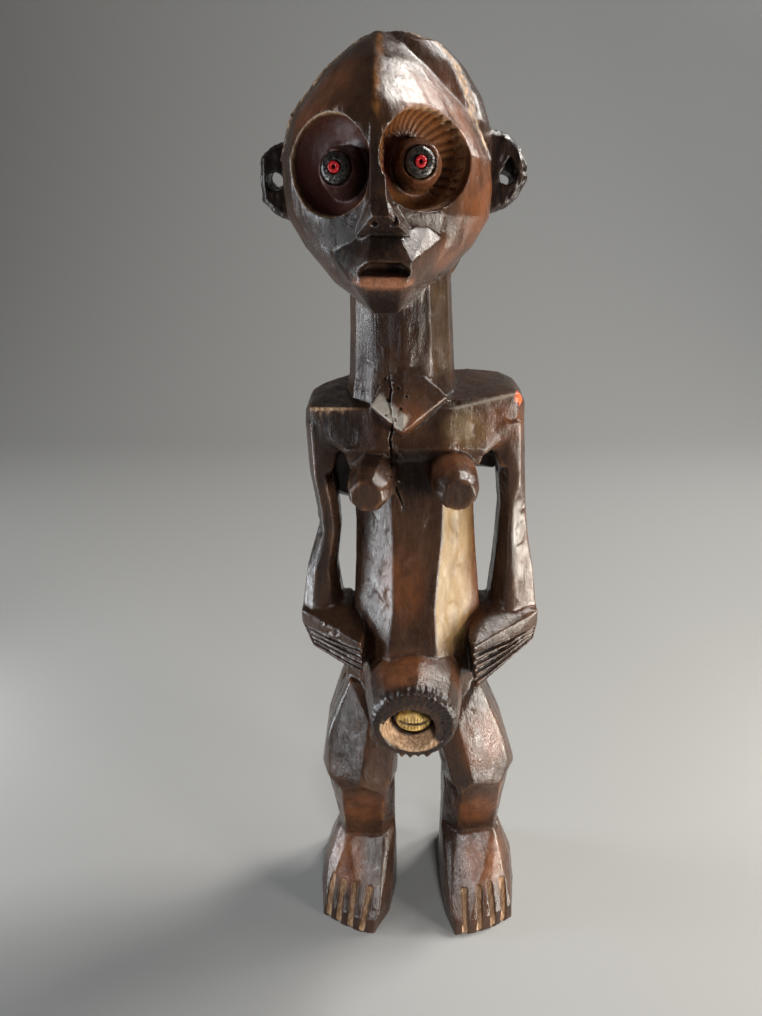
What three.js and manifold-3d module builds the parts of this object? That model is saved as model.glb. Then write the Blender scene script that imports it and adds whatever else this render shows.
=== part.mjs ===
// Carved standing fertility doll: one block of wood, resin-set bead eyes and a shell-filled navel.
// Millimetres, +Z up, the figure faces -Y. "left" is the -X side, "right" the +X side.

import * as THREE from 'three';
import { ConvexGeometry } from 'three/addons/geometries/ConvexGeometry.js';
import { LoftGeometry } from 'three/addons/geometries/LoftGeometry.js';
import { mergeVertices } from 'three/addons/utils/BufferGeometryUtils.js';
import Module from 'manifold-3d';

const wasm = await Module();
wasm.setup();

const at = (x, y, z) => new THREE.Vector3(x, y, z);

// ---- driving dimensions ----------------------------------------------------------------------

const inlayGap = 0.3;        // clearance round every inlaid piece
const outside = 12;          // how far a cutter stands clear of the surface it cuts

const face = {
  maskBack: -4,              // back plane of the face mask
  widestY: -6,               // where the mask is widest
  ridgeShift: -2,            // the nose line stands off the mask's middle
  steps: 14,                 // facets round the front of the mask
};

const eyes = {
  left: {
    socket: at(-27, -27.7, 288.5), halfWidth: 15.8, halfHeight: 14,
    base: at(-21.9, -21, 286.7), tip: at(-25.1, -33, 287.4), side: -1,
  },
  right: {
    socket: at(-0.8, -27.8, 290), halfWidth: 16.3, halfHeight: 13.8,
    base: at(-1.5, -21, 288.8), tip: at(-0.7, -33, 288.9), side: 1,
  },
  turn: 0.63,                // each socket faces this far outwards, radians
  lean: 0.24,                // tops of the sockets lean to the middle, radians
  depth: 8.5,
  stubBase: 7.7,
  stubTip: 5.3,
  resinRadius: 4.3,
  resinSeat: 1.3,
  resinHeight: 2.7,
  beadRadius: 1.7,
  beadHole: 0.55,
  beadLength: 1.8,
  beadSeat: 1.1,
};

const navel = {
  rim: at(-0.6, -45, 107),
  base: at(0.2, -24, 110.4),
  rimRadius: 14.9,
  baseRadius: 17.6,
  mouth: at(-1.8, -45, 105.4), // middle of the bowl's mouth: the bowl opens down and to the left
  mouthRadius: 9.2,
  wellRadius: 7.9,
  shellDrop: 1.3,            // the shell sits this far below the well's axis
  bowlDepth: 5.2,
  wellDepth: 15,
  bedDepth: 6.4,
  bedThickness: 3.2,
  shellHalf: at(6.3, 3.4, 4.4),
  shellRise: 1.2,            // height of the shell's middle above the bed
};

// ---- solids ----------------------------------------------------------------------------------

function toSolid(geometry) {
  const bare = new THREE.BufferGeometry();
  bare.setAttribute('position', geometry.getAttribute('position').clone());
  if (geometry.index) bare.setIndex(geometry.index.clone());
  const welded = mergeVertices(bare, 1e-4);
  return new wasm.Manifold(new wasm.Mesh({
    numProp: 3,
    vertProperties: new Float32Array(welded.getAttribute('position').array),
    triVerts: new Uint32Array(welded.index.array),
  }));
}

function toGeometry(solid) {
  const mesh = solid.getMesh();
  const geometry = new THREE.BufferGeometry();
  geometry.setAttribute('position', new THREE.BufferAttribute(new Float32Array(mesh.vertProperties), 3));
  geometry.setIndex(new THREE.BufferAttribute(new Uint32Array(mesh.triVerts), 1));
  const faceted = geometry.toNonIndexed();
  faceted.computeVertexNormals();
  return faceted;
}

const hull = (points) => toSolid(new ConvexGeometry(points));
const loft = (rings) => toSolid(new LoftGeometry(rings, { capStart: true, capEnd: true }));
const join = (solids) => solids.reduce((sum, solid) => sum.add(solid));
const cut = (body, cutters) => cutters.reduce((rest, cutter) => rest.subtract(cutter), body);

// Turned solid: profile of [radius, height] pairs, standing at `from` and rising towards `to`.
function turned(profile, from, to, segments) {
  const outline = profile.map(([radius, rise]) => new THREE.Vector2(radius, rise));
  const geometry = new THREE.LatheGeometry(outline, segments);
  const direction = to.clone().sub(from).normalize();
  geometry.applyQuaternion(new THREE.Quaternion().setFromUnitVectors(at(0, 1, 0), direction));
  geometry.translate(from.x, from.y, from.z);
  return toSolid(geometry);
}

// Straight channel cut between two surface points; its floor may be narrower than its mouth.
function channel({ from, to, width, floorWidth, depth, rise, outward }) {
  const across = to.clone().sub(from).cross(outward).normalize();
  const corner = (point, side, out) => (
    point.clone().addScaledVector(across, side).addScaledVector(outward, out));
  const points = [];
  for (const point of [from, to]) {
    for (const sign of [-1, 1]) {
      points.push(corner(point, sign * width * 0.5, 0));
      points.push(corner(point, sign * width * 0.5, rise));
      points.push(corner(point, sign * floorWidth * 0.5, -depth));
    }
  }
  return hull(points);
}

// ---- cross-sections --------------------------------------------------------------------------

// Rectangle with cut-off corners, at height z; `pared` widens the cut at the right front corner.
function octagon({ z, left, right, front, back, pared = 0.28 }) {
  const corner = 0.28;
  const w = (right - left) * corner;
  const d = (back - front) * corner;
  const wide = (right - left) * pared;
  return [
    at(left + w, front, z), at(right - wide, front, z), at(right, front + d, z), at(right, back - d, z),
    at(right - w, back, z), at(left + w, back, z), at(left, back - d, z), at(left, front + d, z),
  ];
}

// Torso section: a flat front facet between long slanting side facets.
function torsoRing({ z, left, right, facetLeft, facetRight, front, back }) {
  const shoulder = front * 0.28;
  return [
    at(facetLeft, front, z), at(facetRight, front, z), at(right, shoulder, z),
    at(right - 0.6, back * 0.5, z), at(facetRight + 3, back, z), at(facetLeft - 3, back, z),
    at(left + 0.6, back * 0.5, z), at(left, shoulder, z),
  ];
}

function superellipse(angle, power) {
  const c = Math.cos(angle);
  const s = Math.sin(angle);
  return [Math.sign(c) * Math.abs(c) ** (2 / power), Math.sign(s) * Math.abs(s) ** (2 / power)];
}

// Mask section: flat back, front drawn to a soft ridge on the nose line.
function maskRing({ z, middle, half, front, power = 1.6 }) {
  const ring = [];
  for (let i = 0; i <= face.steps; i += 1) {
    const [across, ahead] = superellipse(Math.PI * (1 - i / face.steps), power);
    const x = middle + half * across + face.ridgeShift * ahead;
    ring.push(at(x, face.widestY + (front - face.widestY) * ahead, z));
  }
  ring.push(at(middle + half, face.maskBack, z), at(middle - half, face.maskBack, z));
  return ring;
}

function ovalRing({ z, middle, half, front, back, power = 2.1, steps = 24 }) {
  const ring = [];
  for (let i = 0; i < steps; i += 1) {
    const [across, along] = superellipse((2 * Math.PI * i) / steps, power);
    ring.push(at(middle + half * across, (front + back) / 2 + ((back - front) / 2) * along, z));
  }
  return ring;
}

// ---- head ------------------------------------------------------------------------------------

const maskSections = [
  { z: 246.5, middle: -10.4, half: 4.2, front: -30.5, power: 2.4 },
  { z: 250, middle: -10.6, half: 9.5, front: -33.6, power: 1.9 },
  { z: 254.5, middle: -10.6, half: 16.8, front: -36.5, power: 1.6 },
  { z: 259.5, middle: -9.9, half: 21.6, front: -36.5, power: 1.5 },
  { z: 266, middle: -9.5, half: 27.6, front: -36 },
  { z: 275, middle: -9.5, half: 32.9, front: -36 },
  { z: 284, middle: -9.8, half: 33.8, front: -37 },
  { z: 292, middle: -10.3, half: 33.4, front: -38 },
  { z: 299, middle: -11, half: 30.8, front: -37.8, power: 1.5 },
  { z: 305, middle: -11.9, half: 28.1, front: -35.8, power: 1.36 },
  { z: 311.5, middle: -12, half: 22.6, front: -30.2, power: 1.32 },
  { z: 318, middle: -12.1, half: 16.7, front: -23.4, power: 1.36 },
  { z: 323.6, middle: -11.9, half: 9.7, front: -16, power: 1.5 },
  { z: 327.4, middle: -11, half: 3.2, front: -10, power: 1.6 },
];

const domeSections = [
  { z: 252, middle: -6, half: 15, front: -12, back: 12 },
  { z: 258, middle: -7, half: 20.5, front: -14, back: 19 },
  { z: 268, middle: -8, half: 27, front: -14, back: 26 },
  { z: 280, middle: -8.4, half: 31.5, front: -14, back: 31 },
  { z: 292, middle: -8.2, half: 32.8, front: -14, back: 33 },
  { z: 304, middle: -7.8, half: 32.2, front: -14, back: 31.5 },
  { z: 311.5, middle: -7.6, half: 29.2, front: -13, back: 27.5 },
  { z: 320, middle: -7.3, half: 22.2, front: -12, back: 20.5 },
  { z: 325.4, middle: -6.8, half: 15, front: -10, back: 13.5 },
  { z: 328, middle: -7.4, half: 6.2, front: -7, back: 6 },
];

// Raised worn band that runs along the mask's edge from ear to ear over the crown.
function rimBand() {
  const upper = maskSections.filter((section) => section.z > 290);
  const leftSide = upper.map(({ z, middle, half }) => at(middle - half + 0.3, -5.6, z - 0.3));
  const rightSide = upper.map(({ z, middle, half }) => at(middle + half - 0.3, -5.6, z - 0.3)).reverse();
  const path = new THREE.CatmullRomCurve3([...leftSide, ...rightSide.slice(1)]);
  const profile = new THREE.Shape();
  profile.absarc(0, 0, 1.05, 0, 2 * Math.PI);
  return toSolid(new THREE.ExtrudeGeometry(profile, {
    steps: 36, curveSegments: 4, bevelEnabled: false, extrudePath: path,
  }));
}

function nose() {
  const bridge = hull([
    at(-14.9, -37, 301), at(-11.9, -37, 301), at(-14.6, -38.6, 287), at(-12.2, -38.6, 287),
    at(-15.6, -25, 301), at(-11.1, -25, 301), at(-19, -25, 276), at(-5, -25, 276),
    at(-15, -43.2, 277.5), at(-10.4, -43.2, 277.5),
  ]);
  const wings = hull([
    at(-15, -43.6, 278), at(-10.2, -43.6, 278), at(-14.6, -45.2, 273.8), at(-9.6, -45.2, 273.8),
    at(-19.6, -36.6, 268.6), at(-2.8, -36, 268.2), at(-19, -24, 276), at(-3, -24, 276),
    at(-17, -24, 268), at(-3, -24, 268), at(-13.4, -37.5, 271), at(-8.4, -37.5, 271),
  ]);
  return bridge.add(wings);
}

function muzzle() {
  const lips = hull([
    at(-14.8, -39.2, 268.2), at(-6.4, -39.2, 268.2), at(-15.6, -43.4, 262.2), at(-3.2, -43, 261.6),
    at(-30.5, -20, 268), at(12.6, -18, 272), at(-22, -24, 274), at(4, -26, 275),
    at(-21.6, -37, 259), at(-0.8, -36.8, 258.6), at(-18.6, -41.6, 256.6), at(-4.2, -42.2, 256.2),
    at(-21, -37.4, 255.6), at(-2, -36.8, 255), at(-17.6, -41, 254.6), at(-5.2, -41.4, 254.4),
    at(-26, -16, 256), at(6, -14, 257),
  ]);
  const chin = hull([
    at(-20.4, -36.6, 255.2), at(-2.6, -36.2, 255), at(-14.2, -30.8, 246.4), at(-7, -30.8, 246.4),
    at(-23.4, -14, 252.4), at(2.2, -14, 252.4), at(-15, -12, 246.8), at(-6, -12, 246.8),
    at(-16.6, -39, 254.8), at(-6, -39.2, 254.6),
  ]);
  return lips.add(chin);
}

// Notch between the lips: deep under the upper lip, with a floor that slopes out over the lower one.
function mouthSlot() {
  return hull([
    at(-15.4, -50, 262), at(-6, -50, 261.8), at(-19.8, -50, 259.2), at(-2.4, -50, 259), at(-19.4, -50, 255),
    at(-2.8, -50, 254.6), at(-15, -36.6, 261.4), at(-6.4, -36.6, 261.2), at(-17.6, -36.6, 259.6),
    at(-4.2, -36.6, 259.4),
  ]);
}

function nostrils() {
  return [-13.9, -8.2].map((x) => turned(
    [[0, 0], [1.5, 0], [0.9, 5], [0, 5]], at(x, -42.8, 269.6), at(x, -39.8, 275), 10));
}

// Bowl of one eye socket with a flaring mouth.
function socketBowl({ socket, halfWidth, halfHeight, side }) {
  const profile = [[0, -eyes.depth]];
  for (let i = 1; i <= 7; i += 1) {
    const angle = (Math.PI / 2) * (i / 7);
    profile.push([Math.sin(angle) ** 0.9, -eyes.depth * Math.cos(angle)]);
  }
  profile.push([1.1, outside], [0, outside]);
  const outline = profile.map(([radius, rise]) => new THREE.Vector2(radius, rise));
  const geometry = new THREE.LatheGeometry(outline, 28);
  geometry.scale(halfWidth, -1, halfHeight);
  geometry.index.array.reverse();
  geometry.rotateY(-side * eyes.lean);
  geometry.rotateZ(side * eyes.turn);
  geometry.translate(socket.x, socket.y, socket.z);
  return toSolid(geometry);
}

const eyeAxis = ({ base, tip }) => tip.clone().sub(base).normalize();
const along = (point, direction, distance) => point.clone().addScaledVector(direction, distance);

function eyeStub(eye) {
  const length = eye.tip.distanceTo(eye.base);
  const profile = [[0, -2], [eyes.stubBase, -2], [eyes.stubBase - 0.5, length * 0.45],
    [eyes.stubTip + 0.5, length - 1.2], [eyes.stubTip, length], [0, length]];
  return turned(profile, eye.base, eye.tip, 20);
}

// Cylinder sunk from the eye's tip, or from the resin's top when `rise` is given.
function eyePocket(eye, radius, depth, rise = 0) {
  const axis = eyeAxis(eye);
  const floor = along(eye.tip, axis, rise - depth);
  return turned([[0, 0], [radius, 0], [radius, outside], [0, outside]], floor, along(floor, axis, 1), 20);
}

function earPlate(outline, root) {
  const points = [];
  for (const [x, z] of outline) {
    points.push(at(x, 5.5, z), at(x, 10.5, z));
  }
  const middle = outline[Math.floor(outline.length / 2)];
  const inset = (value, centre) => centre + (value - centre) * 0.9;
  for (const [x, z] of outline) {
    points.push(at(inset(x, root), 3.5, inset(z, middle[1])), at(inset(x, root), 12.5, inset(z, middle[1])));
  }
  return hull(points);
}

function ears() {
  const left = earPlate([[-36, 299.5], [-44, 299], [-49, 297.2], [-52.2, 294.2], [-52.6, 288.5], [-52.2, 281],
    [-48.4, 276.8], [-43.4, 274.4], [-36, 276]], -38);
  const right = earPlate([[16, 303], [24, 303], [30.4, 301], [34.6, 297], [37, 291.4], [36.8, 286.4],
    [33.6, 281.2], [30, 278.4], [24.6, 276.4], [16, 278]], 18);
  return left.add(right);
}

// Holes bored askew through the ears; the right one opens upwards into a drop-shaped recess.
function earHoles() {
  const bore = (radius, from, to) => {
    const length = from.distanceTo(to);
    return turned([[0, 0], [radius, 0], [radius, length], [0, length]], from, to, 16);
  };
  const recess = hull([
    at(30.9, 1, 295), at(30.9, 6.5, 294), at(27, 1, 288.4), at(34.2, 1, 289.4), at(28, 7.5, 288.4),
    at(33, 7.5, 289), at(27.6, 1, 286), at(33, 1, 286), at(28.6, 7.5, 286.4), at(32, 7.5, 286.4),
  ]);
  return [
    bore(2.9, at(-48.4, 0, 285.4), at(-45.4, 16, 289.6)),
    bore(2.5, at(30.8, 0, 289), at(28.8, 16, 286.2)),
    recess,
  ];
}

function head() {
  const solids = [
    loft(maskSections.map(maskRing)), loft(domeSections.map(ovalRing)), rimBand(), nose(), muzzle(), ears(),
  ];
  const hollowed = cut(join(solids), [
    socketBowl(eyes.left), socketBowl(eyes.right), mouthSlot(), ...nostrils(), ...earHoles(),
  ]);
  const keel = hull([
    at(-14.8, -37, 301), at(-12, -37, 301), at(-14.3, -37.6, 290), at(-12.2, -37.6, 290),
    at(-15.8, -24, 301), at(-10.8, -24, 301), at(-15.8, -24, 282), at(-10.8, -24, 282),
    at(-14.5, -38.6, 282), at(-12, -38.6, 282),
  ]);
  return join([hollowed, keel, eyeStub(eyes.left), eyeStub(eyes.right)]);
}

// ---- neck, shoulders and torso ---------------------------------------------------------------

function neck() {
  const rings = [
    { z: 208, middle: -4.5, half: 20.5, depth: 18.5 },
    { z: 219, middle: -4.5, half: 19.6, depth: 18 },
    { z: 224, middle: -4.5, half: 18.7, depth: 17.6 },
    { z: 240, middle: -4.9, half: 18, depth: 17.4 },
    { z: 258, middle: -5.4, half: 17.2, depth: 17 },
  ];
  return loft(rings.map(({ z, middle, half, depth }) => ovalRing({
    z, middle, half, front: -depth, back: depth, power: 2.15, steps: 12,
  })));
}

function shoulders() {
  const slab = hull([
    at(-36.5, -14, 213.8), at(-15, -18, 214.4), at(12, -18, 214), at(35, -13.4, 218.6),
    at(-38.6, -8, 212), at(38.6, -8, 214.6), at(-33.4, 8, 218.6), at(-23, 12, 221.4), at(20, 12, 223.4),
    at(31, 10, 222.6), at(36.3, 8, 220.7), at(38.2, 2, 217.6), at(-37, 4.5, 217.2), at(-38, 4, 213),
    at(-38.6, -6, 204), at(39, -6, 205), at(-38.4, 9, 204), at(38.8, 9, 205), at(-34, 15, 212),
    at(34, 15, 214), at(-30, 15, 197), at(30, 15, 198), at(-35.6, -14, 205), at(35, -13.8, 206.5),
    at(-24, -17.6, 198), at(23, -17.4, 197.4),
  ]);
  const gorget = hull([
    at(-15.9, -18.2, 215.6), at(10.7, -18.2, 218.4), at(-4.7, -26.4, 207.8), at(-11.5, -16.4, 222),
    at(4, -16.8, 224.6), at(-4.5, -18, 227), at(-5, -19, 204), at(-15, -10, 210), at(10, -10, 212),
  ]);
  const chest = hull([
    at(-15, -18, 214.1), at(12, -18, 213.7), at(-13, -20.2, 200.4), at(11, -20.4, 200.8),
    at(-24.4, -17.8, 199), at(23.4, -17.6, 199.6), at(-20, -12, 188), at(19, -12, 188), at(-19, 6, 205),
    at(18, 6, 205),
  ]);
  return join([slab, gorget, chest]);
}

function torso() {
  return loft([
    { z: 88, left: -25, right: 27, facetLeft: -9, facetRight: 10, front: -19, back: 25 },
    { z: 98, left: -26.6, right: 28.4, facetLeft: -9, facetRight: 10, front: -24, back: 27 },
    { z: 112, left: -25, right: 27.6, facetLeft: -9, facetRight: 9, front: -29, back: 25 },
    { z: 122, left: -23.6, right: 26.8, facetLeft: -9, facetRight: 8.6, front: -30.4, back: 20 },
    { z: 130, left: -22.8, right: 26.2, facetLeft: -9.6, facetRight: 8, front: -29.8, back: 16.5 },
    { z: 142, left: -22, right: 25.2, facetLeft: -7.8, facetRight: 7.2, front: -26.8, back: 14.5 },
    { z: 156, left: -21.4, right: 23.8, facetLeft: -7.8, facetRight: 8.4, front: -23, back: 13.5 },
    { z: 170, left: -21.2, right: 22.6, facetLeft: -8, facetRight: 9.6, front: -20.6, back: 14 },
    { z: 184, left: -22, right: 21.8, facetLeft: -8.6, facetRight: 9.8, front: -18.8, back: 16 },
    { z: 199, left: -23.6, right: 21.8, facetLeft: -12, facetRight: 11, front: -16.6, back: 17.5 },
    { z: 207, left: -24, right: 22, facetLeft: -12, facetRight: 11, front: -16, back: 16 },
  ].map(torsoRing));
}

// Blunt facetted cone that ends in a flat disc.
function breast(base, tip, sides) {
  const length = tip.distanceTo(base);
  return turned([[0, -3], [8.4, -3], [8.4, length * 0.35], [7.3, length * 0.78], [5.5, length], [0, length]],
    base, tip, sides);
}

function breasts() {
  return [
    breast(at(-14, -18, 190.6), at(-16.8, -36, 188.6), 8),
    breast(at(12.8, -18, 191.4), at(13.4, -36, 189.2), 12),
  ];
}

// ---- arms ------------------------------------------------------------------------------------

const armSections = {
  left: [
    { z: 133, left: -42.8, right: -26, front: -9, back: 11 },
    { z: 151, left: -39.8, right: -28.6, front: -9.6, back: 9 },
    { z: 167, left: -35.4, right: -26.9, front: -9.4, back: 8 },
    { z: 176, left: -35.9, right: -27.5, front: -10.6, back: 8.5 },
    { z: 188, left: -37.8, right: -29.6, front: -12.4, back: 9.5 },
  ],
  right: [
    { z: 133, left: 29.6, right: 48.6, front: -10.4, back: 11, pared: 0.5 },
    { z: 151, left: 30.9, right: 45.6, front: -11, back: 9.5, pared: 0.56 },
    { z: 166, left: 31.6, right: 42.8, front: -11.2, back: 8.5, pared: 0.64 },
    { z: 176, left: 32, right: 41.5, front: -11.4, back: 8.5, pared: 0.6 },
    { z: 188, left: 30.6, right: 40.4, front: -12.4, back: 9.5 },
  ],
};

// Upper arm: runs from the last arm section into the end of the shoulder block, flush with its front.
function upperArm(section, side, height) {
  const end = [[36.4, -14.1], [30.2, -15.7], [38.7, -7.6], [38.7, 8], [36, 11], [30.4, 10]];
  return hull([...octagon(section), ...end.map(([x, y]) => at(side * x, y, height))]);
}

// Slanting fillets that round the top of an armpit opening between x = outer and x = inner.
function armpitFillets({ outer, inner, top }) {
  const reach = (inner - outer) * 0.4;
  const fillet = (wall, step, drop) => hull([-13, 9].flatMap((y) => [
    at(wall - step * 0.6, y, top + 3), at(wall + step, y, top + 3), at(wall + step, y, top),
    at(wall + step * 0.2, y, top - drop), at(wall - step * 0.6, y, top - drop),
  ]));
  return fillet(outer, reach, 7).add(fillet(inner, -reach, 6));
}

function arms() {
  const left = armSections.left;
  const right = armSections.right;
  const leftWeb = hull([
    at(-34, 3, 200), at(-20, 3, 200), at(-34, 9, 200), at(-20, 12, 200), at(-31, 4, 180), at(-21, 4, 176),
    at(-30, 8, 176), at(-20, 12, 172),
  ]);
  const rightWeb = hull([
    at(34, 3, 201), at(18, 3, 201), at(34, 9, 201), at(18, 12, 201), at(32, 4, 194), at(18, 4, 190),
    at(31.6, 8, 186), at(18, 12, 186),
  ]);
  return join([
    loft(left.map(octagon)), loft(right.map(octagon)), upperArm(left.at(-1), -1, 208),
    upperArm(right.at(-1), 1, 209), leftWeb, rightWeb,
    armpitFillets({ outer: -30, inner: -22.4, top: 197 }),
    armpitFillets({ outer: 30.6, inner: 22, top: 199 }),
  ]);
}

// Corners of the finger facet on each hand: upper edge from belly to elbow, then the lower edge.
const fingers = {
  left: { top: at(-19.6, -27.6, 130), elbowTop: at(-42.6, -6.4, 128), elbowLow: at(-38.6, -7.6, 118.4),
    tip: at(-18.8, -27.4, 117), count: 5 },
  right: { top: at(21.3, -27.6, 128.4), elbowTop: at(48.8, -6.2, 127), elbowLow: at(47.8, -6.6, 121),
    tip: at(23, -27.6, 111.2), count: 5 },
};

function hands() {
  const left = hull([
    fingers.left.top, fingers.left.elbowTop, fingers.left.elbowLow, fingers.left.tip,
    at(-42.6, -8, 134), at(-26, -8.4, 137), at(-43.4, 3, 127), at(-41, 6, 119.4), at(-42.4, 11, 133),
    at(-22, 8, 134), at(-20, -6, 114), at(-24, 8, 118), at(-18, -23, 131.6), at(-24, 4, 138),
  ]);
  const right = hull([
    fingers.right.top, fingers.right.elbowTop, fingers.right.elbowLow, fingers.right.tip,
    at(48.4, -8, 134), at(30, -9, 137), at(49.2, 3, 126), at(47, 6, 120), at(48, 10.5, 133),
    at(24, 8, 134), at(23, -6, 110), at(27, 8, 118), at(20, -23, 130.4), at(26, 4, 137),
  ]);
  return left.add(right);
}

function fingerGrooves({ top, elbowTop, elbowLow, tip, count }) {
  const outward = elbowTop.clone().sub(top).cross(tip.clone().sub(top)).normalize();
  if (outward.y > 0) outward.negate();
  const grooves = [];
  for (let i = 1; i < count; i += 1) {
    const share = i / count;
    const from = top.clone().lerp(tip, share);
    const to = elbowTop.clone().lerp(elbowLow, share);
    grooves.push(channel({ from, to, width: 1.5, floorWidth: 0.4, depth: 1.2, rise: 2, outward }));
  }
  return grooves;
}

// ---- navel -----------------------------------------------------------------------------------

const navelAxis = navel.rim.clone().sub(navel.base).normalize();

function navelCone() {
  const length = navel.rim.distanceTo(navel.base);
  return turned([[0, -6], [navel.baseRadius + 1, -6], [navel.baseRadius, length * 0.35],
    [navel.rimRadius + 0.5, length - 2], [navel.rimRadius - 0.5, length - 0.3],
    [navel.rimRadius - 1.4, length], [0, length]], navel.base, navel.rim, 16);
}

function navelWell() {
  const floor = along(navel.rim, navelAxis, -navel.wellDepth);
  const bowlFoot = along(navel.rim, navelAxis, -navel.bowlDepth);
  const well = turned([[0, 0], [navel.wellRadius, 0], [navel.wellRadius, navel.wellDepth - 1.5],
    [0, navel.wellDepth - 1.5]], floor, navel.rim, 24);
  const bowlLength = navel.mouth.distanceTo(bowlFoot);
  const bowl = turned([[0, 0], [navel.wellRadius, 0], [navel.mouthRadius, bowlLength],
    [navel.mouthRadius + 1, bowlLength + 4], [0, bowlLength + 4]], bowlFoot, navel.mouth, 24);
  return well.add(bowl);
}

function shellMiddle() {
  return along(navel.rim, navelAxis, navel.shellRise - navel.bedDepth).setZ(
    along(navel.rim, navelAxis, -navel.bedDepth).z - navel.shellDrop);
}

function shellBody(grow) {
  const geometry = new THREE.SphereGeometry(1, 24, 14);
  geometry.scale(navel.shellHalf.x + grow, navel.shellHalf.y + grow, navel.shellHalf.z + grow);
  const middle = shellMiddle();
  geometry.translate(middle.x, middle.y, middle.z);
  return toSolid(geometry);
}

function navelShell() {
  const middle = shellMiddle();
  const front = middle.y - navel.shellHalf.y;
  const slit = hull([
    at(middle.x - 5, front - 1, middle.z), at(middle.x + 5, front - 1, middle.z - 0.2),
    at(middle.x - 3, front - 1, middle.z + 0.6), at(middle.x + 3, front - 1, middle.z + 0.6),
    at(middle.x - 3, front - 1, middle.z - 0.6), at(middle.x + 3, front - 1, middle.z - 0.7),
    at(middle.x - 3.6, front + 1.5, middle.z), at(middle.x + 3.6, front + 1.5, middle.z),
  ]);
  return shellBody(0).subtract(slit);
}

function navelPlug(topDepth, thickness) {
  const top = along(navel.rim, navelAxis, -topDepth);
  const floor = along(top, navelAxis, -thickness);
  const radius = navel.wellRadius - inlayGap;
  return turned([[0, 0], [radius, 0], [radius, thickness - 0.4], [radius - 0.5, thickness], [0, thickness]],
    floor, top, 24);
}

// ---- legs and feet ---------------------------------------------------------------------------

const legs = {
  left: {
    thigh: [at(-24, -13, 106), at(-4, -16, 104), at(-23, 18, 106), at(-14, 26.5, 102), at(-29.5, -13, 94),
      at(-29, 16, 94), at(-20, 28, 90), at(-6, 28, 90), at(-33, -14.5, 84), at(-16.5, -21, 92),
      at(-7, -19, 84), at(-34, 10, 80), at(-3.6, 10, 80), at(-26, 23, 80), at(-8, 23, 80)],
    knee: [at(-33, -20.6, 68), at(-20, -27.4, 68.4), at(-8.6, -24, 66.4), at(-35.9, -10, 67),
      at(-34.6, 6, 66), at(-5.4, -12, 64), at(-5.2, 6, 64), at(-29, 14, 62), at(-10, 14, 62)],
    shin: [at(-27.4, -24, 63.4), at(-11.4, -24.4, 62), at(-33.6, -12, 63), at(-33, 6, 63), at(-6.4, -12, 61),
      at(-6.4, 6, 61), at(-28, 13, 60), at(-10, 13, 60)],
    ankle: [at(-26.6, -10, 30), at(-11, -10, 29.4), at(-29.2, -3, 31), at(-5.8, -3, 31), at(-27, 12, 31),
      at(-7, 12, 31)],
    instep: [at(-26, -11.5, 28.4), at(-10.6, -11.5, 28.4), at(-29.4, -3, 27), at(-5.4, -3, 26),
      at(-28, 13, 25), at(-6.5, 13, 25), at(-34.6, -12, 17), at(-36.6, 2, 12), at(-34, 16, 12)],
    toes: [at(-14.6, -33.4, 6.4), at(-20, -32.8, 7), at(-27, -29.6, 7), at(-35, -24.6, 6.6),
      at(-12.6, -31, 9)],
    sole: [at(-14.9, -33.4, 0), at(-20.6, -32.6, 0), at(-28, -29, 0), at(-36.2, -23.4, 0), at(-37.4, -8, 0),
      at(-36, 12, 0), at(-31, 25, 0), at(-22, 28, 0), at(-11, 26, 0), at(-6, 12, 0), at(-5, -6, 0),
      at(-8.4, -22, 0)],
    wall: [at(-37.6, -8, 5), at(-36.4, 12, 5), at(-22, 28.6, 5), at(-10.6, 26.4, 5), at(-5, 2, 8),
      at(-7.6, -20, 8)],
    grooves: [[-34.2, -32], [-30, -27.3], [-25.1, -22.4], [-20.2, -16.4]],
  },
  right: {
    thigh: [at(6, -16, 104), at(26, -13, 106), at(17, 26.5, 102), at(26, 18, 106), at(31.5, -12, 94),
      at(31, 16, 94), at(9, 28, 90), at(23, 28, 90), at(11, -18, 84), at(17.6, -21, 92),
      at(36, -14.5, 84), at(8, 10, 80), at(38.5, 10, 80), at(12, 23, 80), at(31, 23, 80)],
    knee: [at(16, -23, 66.6), at(23.8, -27.4, 68.6), at(38.6, -19, 71.6), at(42.8, -9, 67), at(41, 6, 66),
      at(13.2, -12, 64), at(12.6, 6, 64), at(37, 14, 62), at(17, 14, 62)],
    shin: [at(20, -24.4, 62.6), at(35, -23, 65), at(40.4, -10, 63), at(39.4, 6, 63), at(14.2, -12, 61),
      at(13.8, 6, 61), at(36, 13, 60), at(18, 13, 60)],
    ankle: [at(20.4, -10, 31), at(36, -9, 32.6), at(38.4, -2, 33), at(14.2, -3, 31), at(36, 12, 32),
      at(15, 12, 32)],
    instep: [at(18.6, -11.5, 29.4), at(34.8, -10.5, 29.4), at(38, -2, 28), at(13.8, -3, 27), at(37, 13, 26),
      at(15, 13, 26), at(43, -10, 18), at(45.6, 2, 13), at(43, 16, 13)],
    toes: [at(18.6, -33.8, 6.4), at(24, -33.6, 7.2), at(33, -31, 7.2), at(42, -25.4, 6.8), at(16.4, -31, 9)],
    sole: [at(18.2, -34.2, 0), at(25, -33.4, 0), at(34, -30.4, 0), at(42.6, -25, 0), at(45.4, -10, 0),
      at(44.4, 12, 0), at(39, 25, 0), at(30, 28, 0), at(20, 26, 0), at(14.6, 12, 0), at(13.8, -6, 0),
      at(15.4, -24, 0)],
    wall: [at(45.8, -8, 5), at(44.8, 12, 5), at(30, 28.6, 5), at(19.6, 26.4, 5), at(13.6, 2, 8),
      at(14.6, -22, 8)],
    grooves: [[22.2, 22.4], [28.3, 28.6], [34.4, 32.8], [38.8, 38.6]],
  },
};

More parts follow.
